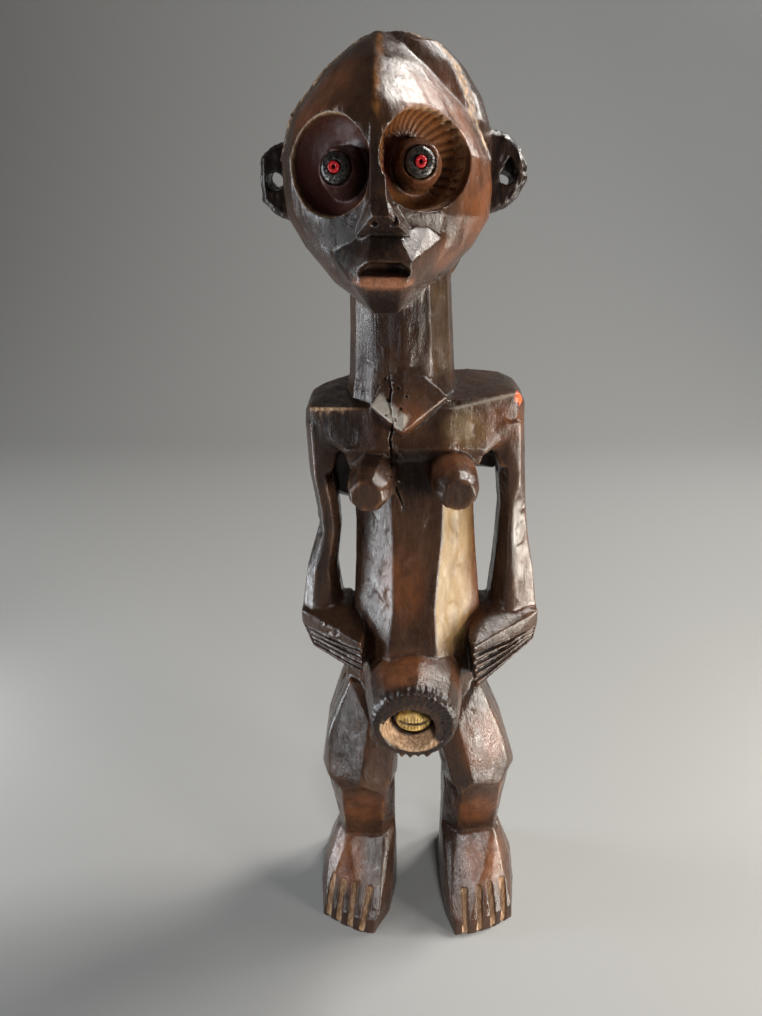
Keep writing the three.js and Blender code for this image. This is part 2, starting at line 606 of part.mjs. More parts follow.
function leg({ thigh, knee, shin, ankle, instep, toes, sole, wall }) {
  const foot = hull([...ankle, ...instep, ...toes, ...sole, ...wall]);
  return join([hull([...thigh, ...knee]), hull([...knee, ...shin]), hull([...shin, ...ankle]), foot]);
}

// Four channels that part the toes; each [low x, high x] runs up over the front of the foot.
function toeGrooves({ grooves, toes, instep }) {
  const line = toes.slice(0, 4);
  const frontAt = (x) => {
    const i = Math.max(1, line.findIndex((point) => Math.abs(point.x) >= Math.abs(x)));
    const share = (x - line[i - 1].x) / (line[i].x - line[i - 1].x);
    return line[i - 1].clone().lerp(line[i], share);
  };
  return grooves.map(([lowX, highX]) => {
    const front = frontAt(lowX);
    const slope = instep[0].clone().lerp(instep[1], 0.5).sub(front).setX(0).normalize();
    const outward = at(0, -slope.z, slope.y);
    const low = at(lowX, front.y - 1.2, front.z - 6.4);
    const high = front.clone().addScaledVector(slope, 12).setX(highX);
    return channel({ from: low, to: high, width: 2.3, floorWidth: 1.9, depth: 1.6, rise: 8, outward });
  });
}

// ---- assembly --------------------------------------------------------------------------------

function carvedFigure() {
  const solids = [
    head(), neck(), shoulders(), torso(), ...breasts(), arms(), hands(), navelCone(), leg(legs.left),
    leg(legs.right),
  ];
  return cut(join(solids), [
    navelWell(), ...fingerGrooves(fingers.left), ...fingerGrooves(fingers.right),
    ...toeGrooves(legs.left), ...toeGrooves(legs.right),
    eyePocket(eyes.left, eyes.resinRadius + inlayGap, eyes.resinSeat),
    eyePocket(eyes.right, eyes.resinRadius + inlayGap, eyes.resinSeat),
  ]);
}

function eyeResin(eye) {
  const axis = eyeAxis(eye);
  const floor = along(eye.tip, axis, inlayGap - eyes.resinSeat);
  const { resinRadius: radius, resinHeight: height } = eyes;
  const lump = turned([[0, 0], [radius, 0], [radius, height * 0.62], [radius * 0.8, height * 0.9],
    [radius * 0.5, height], [0, height]], floor, along(floor, axis, 1), 20);
  const rise = inlayGap - eyes.resinSeat + height;
  return lump.subtract(eyePocket(eye, eyes.beadRadius + inlayGap, eyes.beadSeat, rise));
}

function eyeBead(eye) {
  const axis = eyeAxis(eye);
  const floorRise = 2 * inlayGap - eyes.resinSeat + eyes.resinHeight - eyes.beadSeat;
  const floor = along(eye.tip, axis, floorRise);
  const { beadRadius: radius, beadHole: hole, beadLength: length } = eyes;
  const profile = [];
  const swell = (radius - hole) / 2;
  for (let i = 0; i <= 12; i += 1) {
    const angle = (2 * Math.PI * i) / 12;
    profile.push([hole + swell + swell * Math.cos(angle), (length / 2) * (1 + Math.sin(angle))]);
  }
  return turned(profile, floor, along(floor, axis, 1), 18);
}

const materials = {
  wood: new THREE.MeshStandardMaterial({ color: 0x3d2a20, roughness: 0.38, metalness: 0 }),
  resin: new THREE.MeshStandardMaterial({ color: 0x1c1a19, roughness: 0.3, metalness: 0 }),
  glassBead: new THREE.MeshStandardMaterial({ color: 0xb3202a, roughness: 0.2, metalness: 0 }),
  shell: new THREE.MeshStandardMaterial({ color: 0xb98f45, roughness: 0.45, metalness: 0 }),
  packing: new THREE.MeshStandardMaterial({ color: 0x4a3b2d, roughness: 0.95, metalness: 0 }),
};

function piece(name, solid, material) {
  const mesh = new THREE.Mesh(toGeometry(solid), material);
  mesh.name = name;
  return mesh;
}

const bed = navelPlug(navel.bedDepth, navel.bedThickness).subtract(shellBody(inlayGap));
const packingTop = navel.bedDepth + navel.bedThickness + inlayGap;
const packing = navelPlug(packingTop, navel.wellDepth - inlayGap - packingTop);

const doll = new THREE.Group();
doll.name = 'fertility_doll';
doll.add(
  piece('carved_figure', carvedFigure(), materials.wood),
  piece('eye_resin_left', eyeResin(eyes.left), materials.resin),
  piece('eye_resin_right', eyeResin(eyes.right), materials.resin),
  piece('eye_bead_left', eyeBead(eyes.left), materials.glassBead),
  piece('eye_bead_right', eyeBead(eyes.right), materials.glassBead),
  piece('navel_shell', navelShell(), materials.shell),
  piece('navel_resin', bed, materials.resin),
  piece('navel_packing', packing, materials.packing),
);

// The origin is the middle of the bounding box, on the floor.
const box = new THREE.Box3().setFromObject(doll);
const middle = box.getCenter(at(0, 0, 0));
for (const mesh of doll.children) mesh.geometry.translate(-middle.x, -middle.y, -box.min.z);

export default doll;
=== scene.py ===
"""Looks of the carved fertility doll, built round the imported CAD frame."""

import math

import bmesh
import bpy
import numpy as np
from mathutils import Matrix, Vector


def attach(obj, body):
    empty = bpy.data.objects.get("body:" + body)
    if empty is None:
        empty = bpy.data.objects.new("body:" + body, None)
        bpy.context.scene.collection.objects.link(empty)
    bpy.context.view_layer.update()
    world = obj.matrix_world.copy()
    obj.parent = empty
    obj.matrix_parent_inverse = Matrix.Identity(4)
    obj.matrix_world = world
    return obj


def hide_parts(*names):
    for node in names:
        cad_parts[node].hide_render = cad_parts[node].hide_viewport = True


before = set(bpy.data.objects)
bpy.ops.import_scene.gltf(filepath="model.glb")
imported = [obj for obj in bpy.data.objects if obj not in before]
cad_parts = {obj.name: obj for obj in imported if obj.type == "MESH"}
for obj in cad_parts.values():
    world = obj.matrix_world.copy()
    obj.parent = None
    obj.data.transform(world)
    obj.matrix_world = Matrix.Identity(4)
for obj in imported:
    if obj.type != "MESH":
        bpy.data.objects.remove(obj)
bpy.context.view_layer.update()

# ---- measures --------------------------------------------------------------------------------

# Carving coordinates are millimetres with their origin on the carver's centre line; the row frame's
# origin lies at this point of them.
ROW_ORIGIN = np.array([-1.7, -7.09, 0.0])
FIGURE_VOXEL = 0.55
FIGURE_FACES = 198000
SOCKETS = {
    "left": {"middle": (-27, -27.7, 288.5), "half": (15.8, 14.0), "side": -1},
    "right": {"middle": (-0.8, -27.8, 290), "half": (16.3, 13.8), "side": 1},
}
SOCKET_TURN = 0.63
SOCKET_LEAN = 0.24
EYES = {
    "left": {"base": (-21.9, -21.0, 286.7), "tip": (-25.1, -33.0, 287.4)},
    "right": {"base": (-1.5, -21.0, 288.8), "tip": (-0.7, -33.0, 288.9)},
}
NAVEL_RIM = np.array([-0.6, -45.0, 107.0])


# ---- repeatable noise ------------------------------------------------------------------------

def lattice(x, y, z, seed):
    """A repeatable value in 0..1 for each whole-number lattice point."""
    h = (x * 374761393 + y * 668265263 + z * 1442695041 + seed * 1274126177) & 0xFFFFFFFF
    h = ((h ^ (h >> 13)) * 1274126177) & 0xFFFFFFFF
    return ((h ^ (h >> 16)) & 0xFFFFFF) / float(0xFFFFFF)


def noise(points, scale, seed):
    """Smooth noise in -1..1. scale is the size of a bump in mm: one number, or one per axis."""
    p = points / np.asarray(scale, float)
    cell = np.floor(p).astype(np.int64)
    f = p - cell
    f = f * f * (3 - 2 * f)
    total = np.zeros(len(p))
    for i in (0, 1):
        for j in (0, 1):
            for k in (0, 1):
                weight = np.abs(1 - i - f[:, 0]) * np.abs(1 - j - f[:, 1]) * np.abs(1 - k - f[:, 2])
                total += weight * lattice(cell[:, 0] + i, cell[:, 1] + j, cell[:, 2] + k, seed)
    return total * 2 - 1


def ramp(values, low, high):
    """0 below low, 1 above high, smooth between. low may be the larger one."""
    t = np.clip((values - low) / (high - low), 0, 1)
    return t * t * (3 - 2 * t)


# ---- skins: meshes that can be carved --------------------------------------------------------

def add_object(name, mesh):
    obj = bpy.data.objects.new(name, mesh)
    bpy.context.scene.collection.objects.link(obj)
    return obj


def evaluated(mesh, kind, settings):
    """The mesh after one modifier."""
    obj = add_object("bench", mesh)
    modifier = obj.modifiers.new("step", kind)
    for key, value in settings.items():
        setattr(modifier, key, value)
    depsgraph = bpy.context.evaluated_depsgraph_get()
    result = bpy.data.meshes.new_from_object(obj.evaluated_get(depsgraph))
    bpy.data.objects.remove(obj)
    return result


def refined(mesh, regions):
    """Splits each face once in the regions: boxes given by two corners in carving coordinates."""
    centres = np.empty(len(mesh.polygons) * 3, np.float32)
    mesh.polygons.foreach_get("center", centres)
    centres = centres.reshape(-1, 3) * 1000 + ROW_ORIGIN
    wanted = np.zeros(len(centres), bool)
    for low, high in regions:
        wanted |= np.all((centres > low) & (centres < high), axis=1)
    work = bmesh.new()
    work.from_mesh(mesh)
    work.faces.ensure_lookup_table()
    edges = {edge for i in np.flatnonzero(wanted) for edge in work.faces[i].edges}
    bmesh.ops.subdivide_edges(work, edges=list(edges), cuts=1, use_grid_fill=True)
    work.to_mesh(mesh)
    work.free()
    return mesh


def skin_of(node, voxel, regions=()):
    """A fine, even mesh laid over a CAD node's facets, finer still in the regions."""
    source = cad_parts[node].data.copy()
    work = bmesh.new()
    work.from_mesh(source)
    bmesh.ops.remove_doubles(work, verts=work.verts, dist=2e-6)
    work.to_mesh(source)
    work.free()
    even = evaluated(source, "REMESH", {"mode": "VOXEL", "voxel_size": voxel * 0.001})
    if regions:
        even = refined(even, regions)
    return Skin(evaluated(even, "SHRINKWRAP", {"target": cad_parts[node]}))


class Skin:
    """A mesh's vertices in carving coordinates, with its normals and neighbour means."""

    def __init__(self, mesh):
        self.mesh = mesh
        count = len(mesh.vertices)
        flat = np.empty(count * 3, np.float32)
        mesh.vertices.foreach_get("co", flat)
        self.co = flat.reshape(-1, 3).astype(float) * 1000 + ROW_ORIGIN
        ends = np.empty(len(mesh.edges) * 2, np.int32)
        mesh.edges.foreach_get("vertices", ends)
        self.a, self.b = ends.reshape(-1, 2).T
        self.degree = np.bincount(ends, minlength=count) + 1e-9
        corners = np.empty(len(mesh.loop_triangles) * 3, np.int32)
        mesh.loop_triangles.foreach_get("vertices", corners)
        self.triangles = corners.reshape(-1, 3)
        self.fields = {}

    def normals(self):
        c = self.co[self.triangles]
        face = np.cross(c[:, 1] - c[:, 0], c[:, 2] - c[:, 0])
        total = np.empty_like(self.co)
        for axis in range(3):
            per_corner = np.repeat(face[:, axis], 3)
            total[:, axis] = np.bincount(self.triangles.ravel(), per_corner, len(self.co))
        return total / (np.linalg.norm(total, axis=1, keepdims=True) + 1e-12)

    def spread(self, values):
        """The mean of each vertex's neighbours."""
        count = len(self.co)
        columns = values.reshape(count, -1)
        mean = np.empty_like(columns)
        for i in range(columns.shape[1]):
            column = columns[:, i]
            mean[:, i] = np.bincount(self.a, column[self.b], count) + np.bincount(self.b, column[self.a], count)
        return (mean / self.degree[:, None]).reshape(values.shape)

    def soften(self, rounds, amount=0.5):
        """Smooths the surface. amount is one number or one per vertex."""
        share = np.broadcast_to(amount, len(self.co))[:, None]
        for _ in range(rounds):
            self.co += share * (self.spread(self.co) - self.co)

    def push(self, distance):
        """Moves every vertex along its normal, in mm; inward where negative."""
        self.co += self.normals() * distance[:, None]

    def write(self):
        flat = ((self.co - ROW_ORIGIN) / 1000).astype(np.float32).ravel()
        self.mesh.vertices.foreach_set("co", flat)
        for name, values in self.fields.items():
            attribute = self.mesh.attributes.new(name, "FLOAT", "POINT")
            attribute.data.foreach_set("value", np.clip(values, 0, 1).astype(np.float32))
        self.mesh.shade_smooth()
        self.mesh.update()
        return self.mesh


def adze(skin, rng, where, count, radius, depth, tilt):
    """Flat tool facets: each pares the surface near one vertex down to a slightly tilted plane."""
    normals = skin.normals()
    for _ in range(3):
        normals = skin.spread(normals)
    order = np.argsort(skin.co[:, 2])
    heights = skin.co[order, 2]
    candidates = np.flatnonzero(where > 0.5)
    for seed in rng.choice(candidates, count):
        middle = skin.co[seed]
        reach = radius * rng.uniform(0.7, 1.3)
        low, high = np.searchsorted(heights, [middle[2] - reach * 1.5, middle[2] + reach * 1.5])
        near = order[low:high]
        offset = skin.co[near] - middle
        spread = (offset[:, 0] ** 2 + offset[:, 1] ** 2 + (offset[:, 2] / 1.5) ** 2) / reach**2
        near, offset, spread = near[spread < 1], offset[spread < 1], spread[spread < 1]
        axis = normals[seed] + rng.normal(0, tilt, 3)
        axis /= np.linalg.norm(axis)
        above = offset @ axis + depth * rng.uniform(0.4, 1)
        faces = (normals[near] @ axis > 0.75) & (above > 0)
        pared = np.where(faces, above, 0) * (1 - spread**3) * where[near]
        skin.co[near] -= axis * pared[:, None]


def distance_to_path(points, path):
    """Distance of each point to a polyline, in mm, and how far along it (0..1) the nearest place is."""
    best = np.full(len(points), 1e9)
    along = np.zeros(len(points))
    path = np.asarray(path, float)
    lengths = np.linalg.norm(np.diff(path, axis=0), axis=1)
    travelled = np.concatenate([[0], np.cumsum(lengths)])
    for i, length in enumerate(lengths):
        step = (path[i + 1] - path[i]) / length
        t = np.clip((points - path[i]) @ step, 0, length)
        d = np.linalg.norm(points - path[i] - t[:, None] * step, axis=1)
        closer = d < best
        best[closer] = d[closer]
        along[closer] = (travelled[i] + t[closer]) / travelled[-1]
    return best, along


# ---- the carved figure -----------------------------------------------------------------------

def socket_coordinates(points, socket):
    """Across, up and outward coordinates of points in one eye socket's own frame."""
    offset = points - np.array(socket["middle"])
    turn, lean = socket["side"] * SOCKET_TURN, socket["side"] * SOCKET_LEAN
    across = np.array([math.cos(turn), math.sin(turn), 0])
    outward = np.array([math.sin(turn), -math.cos(turn), 0])
    x, z = offset @ across, offset[:, 2]
    return x * math.cos(lean) + z * math.sin(lean), z * math.cos(lean) - x * math.sin(lean), offset @ outward


def socket_radius(points, socket):
    """1 on the socket's rim, 0 in its middle, for points near the bowl."""
    x, z, out = socket_coordinates(points, socket)
    radius = np.hypot(x / socket["half"][0], z / socket["half"][1])
    return np.where(np.abs(out) < 13, radius, 9), np.arctan2(z, x)


def in_box(points, low, high, edge=0.8):
    """1 inside a box given by two corners, fading out over edge mm."""
    inside = np.ones(len(points))
    for axis in range(3):
        inside *= ramp(points[:, axis], low[axis] - edge, low[axis])
        inside *= ramp(points[:, axis], high[axis] + edge, high[axis])
    return inside


def rim_band_weight(points):
    """1 on the raised band that edges the face mask over the crown."""
    behind = np.abs(points[:, 1] + 5.6)
    above_ears = ramp(points[:, 2], 292, 297)
    return ramp(behind, 1.7, 0.9) * above_ears


def blob(points, middle, reach):
    """1 at middle, fading to 0 at an ellipsoid whose half axes are reach."""
    return ramp(np.linalg.norm((points - np.array(middle)) / np.array(reach), axis=1), 1.0, 0.35)


def carve_grain(skin):
    """Long fibres running up the block, as fine ridges, under a faintly uneven hand-cut surface."""
    p = skin.co
    fibres = noise(p, (1.1, 1.1, 12), 11) * 0.035 + noise(p, (2.4, 2.4, 26), 12) * 0.05
    hand_cut = noise(p, (5, 5, 8), 13) * 0.10 + noise(p, (1.7, 1.7, 2.8), 14) * 0.04
    skin.push(fibres + hand_cut)


# Places with fine cuts of their own, in carving coordinates: the face with the ears and the crown's band,
# the gorget with its crack, both hands, the navel's rim and the toes.
DETAILS = [
    ((-45, -48, 245), (25, -14, 303)), ((-60, 2, 268), (-43, 14, 304)), ((24, 2, 268), (40, 14, 306)),
    ((-50, -8, 290), (30, -3.5, 332)), ((-16, -30, 176), (-1, -13, 226)), ((-45, -32, 106), (-16, -4, 135)),
    ((18, -32, 106), (52, -4, 135)), ((-18, -50, 88), (17, -36, 124)), ((-39, -38, 0), (-12, -16, 20)),
    ((16, -38, 0), (45, -16, 20)),
]


def carve_tool_marks(skin, plain):
    """Shallow facets of the small knife that pared the planes."""
    rng = np.random.default_rng(7)
    z = skin.co[:, 2]
    flat = ramp(np.abs(relief(skin, 14)), 0.16, 0.06)
    head = plain * flat * ramp(z, 250, 258)
    body = plain * flat * ramp(z, 258, 250)
    adze(skin, rng, head, 200, 3.4, 0.035, 0.012)
    adze(skin, rng, body, 900, 3.6, 0.06, 0.02)
    adze(skin, rng, body, 1500, 2.0, 0.05, 0.03)


def carve_sockets(skin):
    """The left socket is scraped smooth; gouge flutes run down the wall of the right one."""
    for socket in SOCKETS.values():
        radius, _ = socket_radius(skin.co, socket)
        skin.soften(20, 0.6 * ramp(radius, 0.985, 0.93) * ramp(radius, 0.45, 0.52))
        stub = ramp(radius, 0.62, 0.5)
        skin.soften(8, 0.6 * stub)
        skin.push(stub * (noise(skin.co, 3.2, 23) * 0.45 + noise(skin.co, 1.3, 24) * 0.16))
    radius, angle = socket_radius(skin.co, SOCKETS["right"])
    wall = ramp(radius, 0.54, 0.66) * ramp(radius, 1.02, 0.98)
    fluted = ramp(np.sin(angle + 0.5), -0.75, -0.3)
    inside = ramp(skin.co[:, 0], -12.6, -11.6)
    skin.push(-0.75 * wall * fluted * inside * (1 - flute_ridge(skin.co, angle)))
    radius, angle = socket_radius(skin.co, SOCKETS["left"])
    wall = ramp(radius, 0.5, 0.7) * ramp(radius, 1.0, 0.94)
    skin.push(0.08 * wall * noise(skin.co, (1.4, 1.4, 5), 22))


def flute_ridge(points, angle):
    """1 on the ridges between the gouge flutes, 0 in the middle of a flute."""
    return np.abs(np.sin(angle * 17 + noise(points, 4, 21) * 0.9)) ** 0.8


def carve_rim_band(skin):
    band = rim_band_weight(skin.co)
    hatch = noise(skin.co, (1.1, 0.9, 1.1), 31) * 0.16 + noise(skin.co, 0.6, 32) * 0.12
    skin.push(band * hatch)


def ear_weight(points):
    left = ramp(points[:, 0], -43.5, -45.5)
    right = ramp(points[:, 0], 24.5, 26.5)
    return (left + right) * ramp(points[:, 2], 268, 272)


def carve_ears(skin):
    p = skin.co
    skin.push(ear_weight(p) * (noise(p, 2.4, 41) * 0.26 + noise(p, (1.1, 1.1, 2.0), 42) * 0.22))


CRACK = [(-8.6, 226), (-9.2, 217), (-8.2, 210), (-8.8, 204), (-8.4, 197), (-7.2, 191), (-6.6, 185), (-4.6, 180),
         (-4.0, 176)]
WORMHOLES = [(-10.6, 224, 0.45), (-6.2, 221.5, 0.4), (-9.9, 217.5, 0.5), (-5.4, 215.2, 0.35), (-7.2, 211.6, 0.4),
             (-6.2, 187.6, 0.4), (-8.4, 193.4, 0.35), (-3.6, 219.0, 0.35), (-10.2, 212.8, 0.35)]


def carve_crack(skin):
    """The drying crack from the neck's foot down between the breasts, with wormholes beside it."""
    p = skin.co
    jagged = p + 0.4 * np.stack([noise(p, 1.6, 51), noise(p, 1.6, 52), noise(p, 2.4, 53)], axis=1)
    distance, along = distance_to_path(jagged * [1, 0, 1], [(x, 0, z) for x, z in CRACK])
    width = 0.14 + 0.14 * np.sin(along * math.pi)
    front = ramp(p[:, 1], -12, -14)
    crack = ramp(distance, width + 0.3, width * 0.4) * ramp(along, 0, 0.1) * ramp(along, 1, 0.85) * front
    crack *= 0.25 + 0.75 * ramp(noise(p, 3.2, 55), -0.35, 0.1)
    holes = np.zeros(len(p))
    for x, z, size in WORMHOLES:
        away = np.hypot(p[:, 0] - x, p[:, 2] - z)
        holes = np.maximum(holes, ramp(away, size + 0.25, size * 0.5) * front)
    torn = blob(p, (-6.5, -21, 193), (3.5, 9, 13)) * (0.7 - crack)
    skin.push(-1.0 * crack - 0.7 * holes + torn * (noise(p, (1.2, 1.2, 2.2), 54) * 0.5))
    return np.maximum(crack, holes)


# The facet each hand's fingers are cut into: its upper edge from belly to elbow, then its lower edge.
FINGERS = {
    "left": ((-19.6, -27.6, 130), (-42.6, -6.4, 128), (-38.6, -7.6, 118.4), (-18.8, -27.4, 117)),
    "right": ((21.3, -27.6, 128.4), (48.8, -6.2, 127), (47.8, -6.6, 121), (23, -27.6, 111.2)),
}


def finger_grooves(points):
    """1 in the four grooves that part the fingers of each hand."""
    field = np.zeros(len(points))
    for corners in FINGERS.values():
        top, elbow_top, elbow_low, tip = (np.array(corner) for corner in corners)
        for i in range(1, 5):
            ends = [top + (tip - top) * i / 5, elbow_top + (elbow_low - elbow_top) * i / 5]
            distance, _ = distance_to_path(points, ends)
            field = np.maximum(field, ramp(distance, 1.1, 0.35))
    return field


def carve_hands(skin):
    """Cleans the finger grooves; then chipped wood at the left wrist and a ragged cut by the right fingers."""
    p = skin.co
    palms = np.maximum(in_box(p, (-45, -32, 106), (-16, -4, 133)), in_box(p, (18, -32, 104), (52, -4, 133)))
    skin.soften(5, 0.6 * palms)
    skin.push(-0.85 * finger_grooves(p) + palms * noise(p, (1.5, 1.5, 1.1), 64) * 0.07)
    wrist = blob(p, (-31, -17, 130), (8.5, 9, 4.0))
    pits = noise(p, (2.2, 2.2, 1.6), 61) + 0.5 * noise(p, 1.0, 62)
    skin.push(wrist * np.minimum(pits * 0.9, 0.15))
    cut, _ = distance_to_path(p, [(20.2, -27.5, 130), (21.2, -27.8, 120), (22.4, -27.6, 110)])
    ragged = ramp(cut, 1.9, 0.9)
    skin.push(ragged * (noise(p, (1.3, 1.3, 1.7), 63) * 0.5 - 0.6))


def navel_radius(points):
    return np.hypot(points[:, 0] - NAVEL_RIM[0], points[:, 2] - NAVEL_RIM[2] - 0.2)


def carve_navel(skin):
    """Knife strokes round the rim and in the bowl, and splinters under it."""
    p = skin.co
    radius = navel_radius(p)
    angle = np.arctan2(p[:, 2] - NAVEL_RIM[2], p[:, 0] - NAVEL_RIM[0])
    ring = ramp(p[:, 1], -42.5, -44) * ramp(radius, 9.0, 10.2)
    strokes = np.abs(np.sin(angle * 19 + 1.5 * noise(p, 5, 71)))
    upper = ramp(np.sin(angle), -0.3, 0.4)
    skin.push(ring * (noise(p, (1.0, 2.5, 1.0), 72) * 0.14 - 0.22 * (1 - strokes) * upper))
    bowl = ramp(p[:, 1], -37.5, -39) * ramp(radius, 11.2, 10.2)
    skin.push(bowl * noise(p, (0.9, 1.8, 0.9), 73) * 0.22)
    splinters = ramp(p[:, 1], -38, -41) * ramp(np.sin(angle), -0.86, -0.96) * ramp(radius, 12.8, 14)
    skin.push(splinters * (1.3 * np.maximum(noise(p, (1.5, 4, 9), 74), -0.2)))


def carve_figure():
    skin = skin_of("carved_figure", FIGURE_VOXEL, DETAILS)
    p = skin.co
    back_of_head = ramp(p[:, 2], 256, 262) * ramp(p[:, 1], -3, 1) * (1 - ear_weight(p))
    joints = patch_field(p, WORN_ROUND) * (1 - 0.8 * in_box(p, (-45, -32, 100), (52, -16, 133)))
    skin.soften(26, 0.6 * np.maximum(back_of_head, joints))
    skin.soften(2, 0.6)
    sockets = np.minimum(*(socket_radius(p, s)[0] for s in SOCKETS.values()))
    plain = ramp(sockets, 0.98, 1.15) * (p[:, 2] > 1.0)
    for low, high in DETAILS:
        plain = plain * (1 - in_box(p, low, high))
    carve_tool_marks(skin, plain)
    carve_sockets(skin)
    carve_rim_band(skin)
    carve_ears(skin)
    split = carve_crack(skin)
    carve_hands(skin)
    carve_navel(skin)
    carve_grain(skin)
    skin.co[:, 2] = np.maximum(skin.co[:, 2], 0)
    skin.fields = figure_fields(skin, split)
    mesh = skin.write()
    ratio = FIGURE_FACES / len(skin.triangles)
    mesh = evaluated(mesh, "DECIMATE", {"decimate_type": "COLLAPSE", "ratio": min(1, ratio)})
    return mesh


def relief(skin, rounds):
    """How far each vertex stands out of the surface around it, in mm; more rounds look at more surface."""
    smooth = skin.co
    for _ in range(rounds):
        smooth = skin.spread(smooth)
    return np.sum((skin.co - smooth) * skin.normals(), axis=1)


# Where the knife's edges have been rounded by handling.
WORN_ROUND = [
    ((-29, -8, 200), (9, 14, 14), 1.0), ((29, -8, 203), (9, 14, 14), 1.0), ((-36, -6, 134), (14, 18, 16), 1.0),
    ((38, -6, 134), (16, 18, 16), 1.0), ((-36, -10, 170), (10, 16, 24), 0.6), ((38, -10, 165), (10, 16, 28), 0.6),
    ((-34, -8, 86), (16, 24, 30), 0.9), ((40, -8, 88), (16, 24, 32), 0.9), ((-20, -14, 30), (24, 14, 12), 0.7),
    ((26, -14, 30), (24, 14, 12), 0.7), ((-38, 0, 216), (8, 18, 12), 0.8), ((38, 0, 217), (8, 18, 14), 0.6),
    ((-4, -19, 227), (20, 8, 7), 1.0), ((12, -26, 268), (12, 14, 10), 0.5), ((-28, -24, 268), (12, 14, 10), 0.5),
    ((-5, -14, 188), (20, 10, 10), 0.8),
]
# Where handling has worn the patina down to warm brown, and where the wood is drawn darker by soot and by
# painted shade: middle of the patch, its half axes, and how strong it is.
WARM_PATCHES = [
    ((8, -24, 306), (22, 22, 24), 1.0), ((20, -16, 280), (15, 20, 22), 0.8), ((14, -24, 262), (15, 16, 10), 0.7),
    ((-0.8, -28, 290), (17, 14, 17), 0.8), ((-4, -20, 148), (12, 12, 22), 0.7), ((-3, -34, 122), (13, 14, 9), 1.0),
    ((13, -22, 193), (10, 16, 10), 0.7), ((-4, -24, 212), (10, 10, 8), 0.6), ((-19, -20, 50), (14, 16, 16), 0.6),
    ((27, -18, 48), (14, 16, 16), 0.6), ((-27, -16, 22), (12, 18, 14), 0.8), ((30, -14, 22), (14, 18, 14), 0.7),
    ((20, -10, 150), (10, 16, 34), 0.8), ((28, -20, 84), (14, 18, 16), 0.6), ((-28, -22, 306), (18, 16, 20), 0.85),
    ((28, -12, 208), (16, 12, 12), 0.6), ((-11, -41, 256), (12, 8, 3), 1.0), ((44, -6, 150), (8, 14, 30), 0.3),
]
# Dark patches: painted shade on the shaded left-hand planes of forehead, face, chest, arm and legs, under nose, chin
# and breast, and soot and painted shade in the eye sockets.
SOOT_AND_SHADE_PATCHES = [
    ((-26, -34, 267), (16, 16, 15), 1.0), ((-12, -42, 269), (10, 10, 7), 1.0), ((-11, -34, 250), (10, 10, 5.5), 1.0),
    ((-28, -16, 206), (20, 14, 12), 1.0), ((-38, -8, 165), (12, 16, 34), 0.8), ((-22, -26, 303), (10, 12, 10), 0.4),
    ((-13.3, -38, 286), (3, 8, 14), 1.0), ((-2, -18, 186), (12, 10, 14), 0.7), ((12, -36, 190), (7, 5, 7), 0.6),
    ((-29, -14, 88), (14, 18, 24), 0.7), ((18, -12, 30), (7, 30, 30), 0.6), ((-14, -8, 60), (10, 18, 34), 0.4),
    ((0, -10, 240), (26, 30, 14), 0.3), ((-22.8, -27, 287), (11, 12, 11), 1.0), ((-1.2, -27, 289), (10, 11, 10), 1.0),
    ((-11, -40, 269.5), (11, 7, 3.5), 1.0), ((-11.5, -36, 251), (10, 8, 4), 1.0),
]
# Painted shadows under the eye stubs and on the chin's underside: middle of the patch, its half axes, and how strong
# it is.
PAINTED_SHADOW_PATCHES = [
    ((-19.5, -25, 284.5), (7, 8, 7), 0.9), ((-5.5, -25, 285.5), (5, 8, 6), 0.8), ((-11, -34, 247), (9, 8, 6), 0.7),
]
# The orange-brown line that handling has worn down the forehead's ridge.
RIDGE = [(-12.4, -12, 326.5), (-12.8, -22, 318), (-13.2, -30, 311.5), (-13.4, -38, 301)]


def patch_field(points, patches):
    field = np.zeros(len(points))
    for middle, reach, amount in patches:
        field = np.maximum(field, amount * blob(points, middle, reach))
    return field


def gorget_painted_highlight(points):
    """A painted highlight along the gorget's lower left facet."""
    corner, slope = np.array([-15.9, 215.6]), np.array([11.2, -7.8]) / math.hypot(11.2, 7.8)
    offset = points[:, [0, 2]] - corner
    along, above = offset @ slope, offset @ np.array([-slope[1], slope[0]])
    ragged = above + 0.5 * noise(points, 1.4, 83)
    return ramp(ragged, -0.6, 0) * ramp(ragged, 5.0, 4.4) * ramp(along, 0.4, 1) * ramp(along, 13.4, 12.6) * (
        points[:, 1] < -15)


def painted_sheen_planes(skin):
    """The slanting right-hand planes of belly, neck and chest, drawn lighter and golden brown: a painted warm sheen
    where the lights on the right fall on them.
    """
    facing = skin.normals()
    for _ in range(6):
        facing = skin.spread(facing)
    x, y, z = skin.co.T
    slanting = ramp(facing @ [0.78, -0.62, 0.0], 0.86, 0.95)
    belly = slanting * ramp(z, 118, 140) * ramp(z, 187, 184) * ramp(x, 4, 6) * ramp(x, 24, 19)
    neck = ramp(x, 2, 5) * ramp(z, 222, 228) * ramp(z, 258, 250) * 0.12
    chest = blob(skin.co, (18, -18, 207), (12, 5, 9)) * 0.55
    return np.maximum(belly, np.maximum(neck, chest)) * ramp(y, -4, -8)


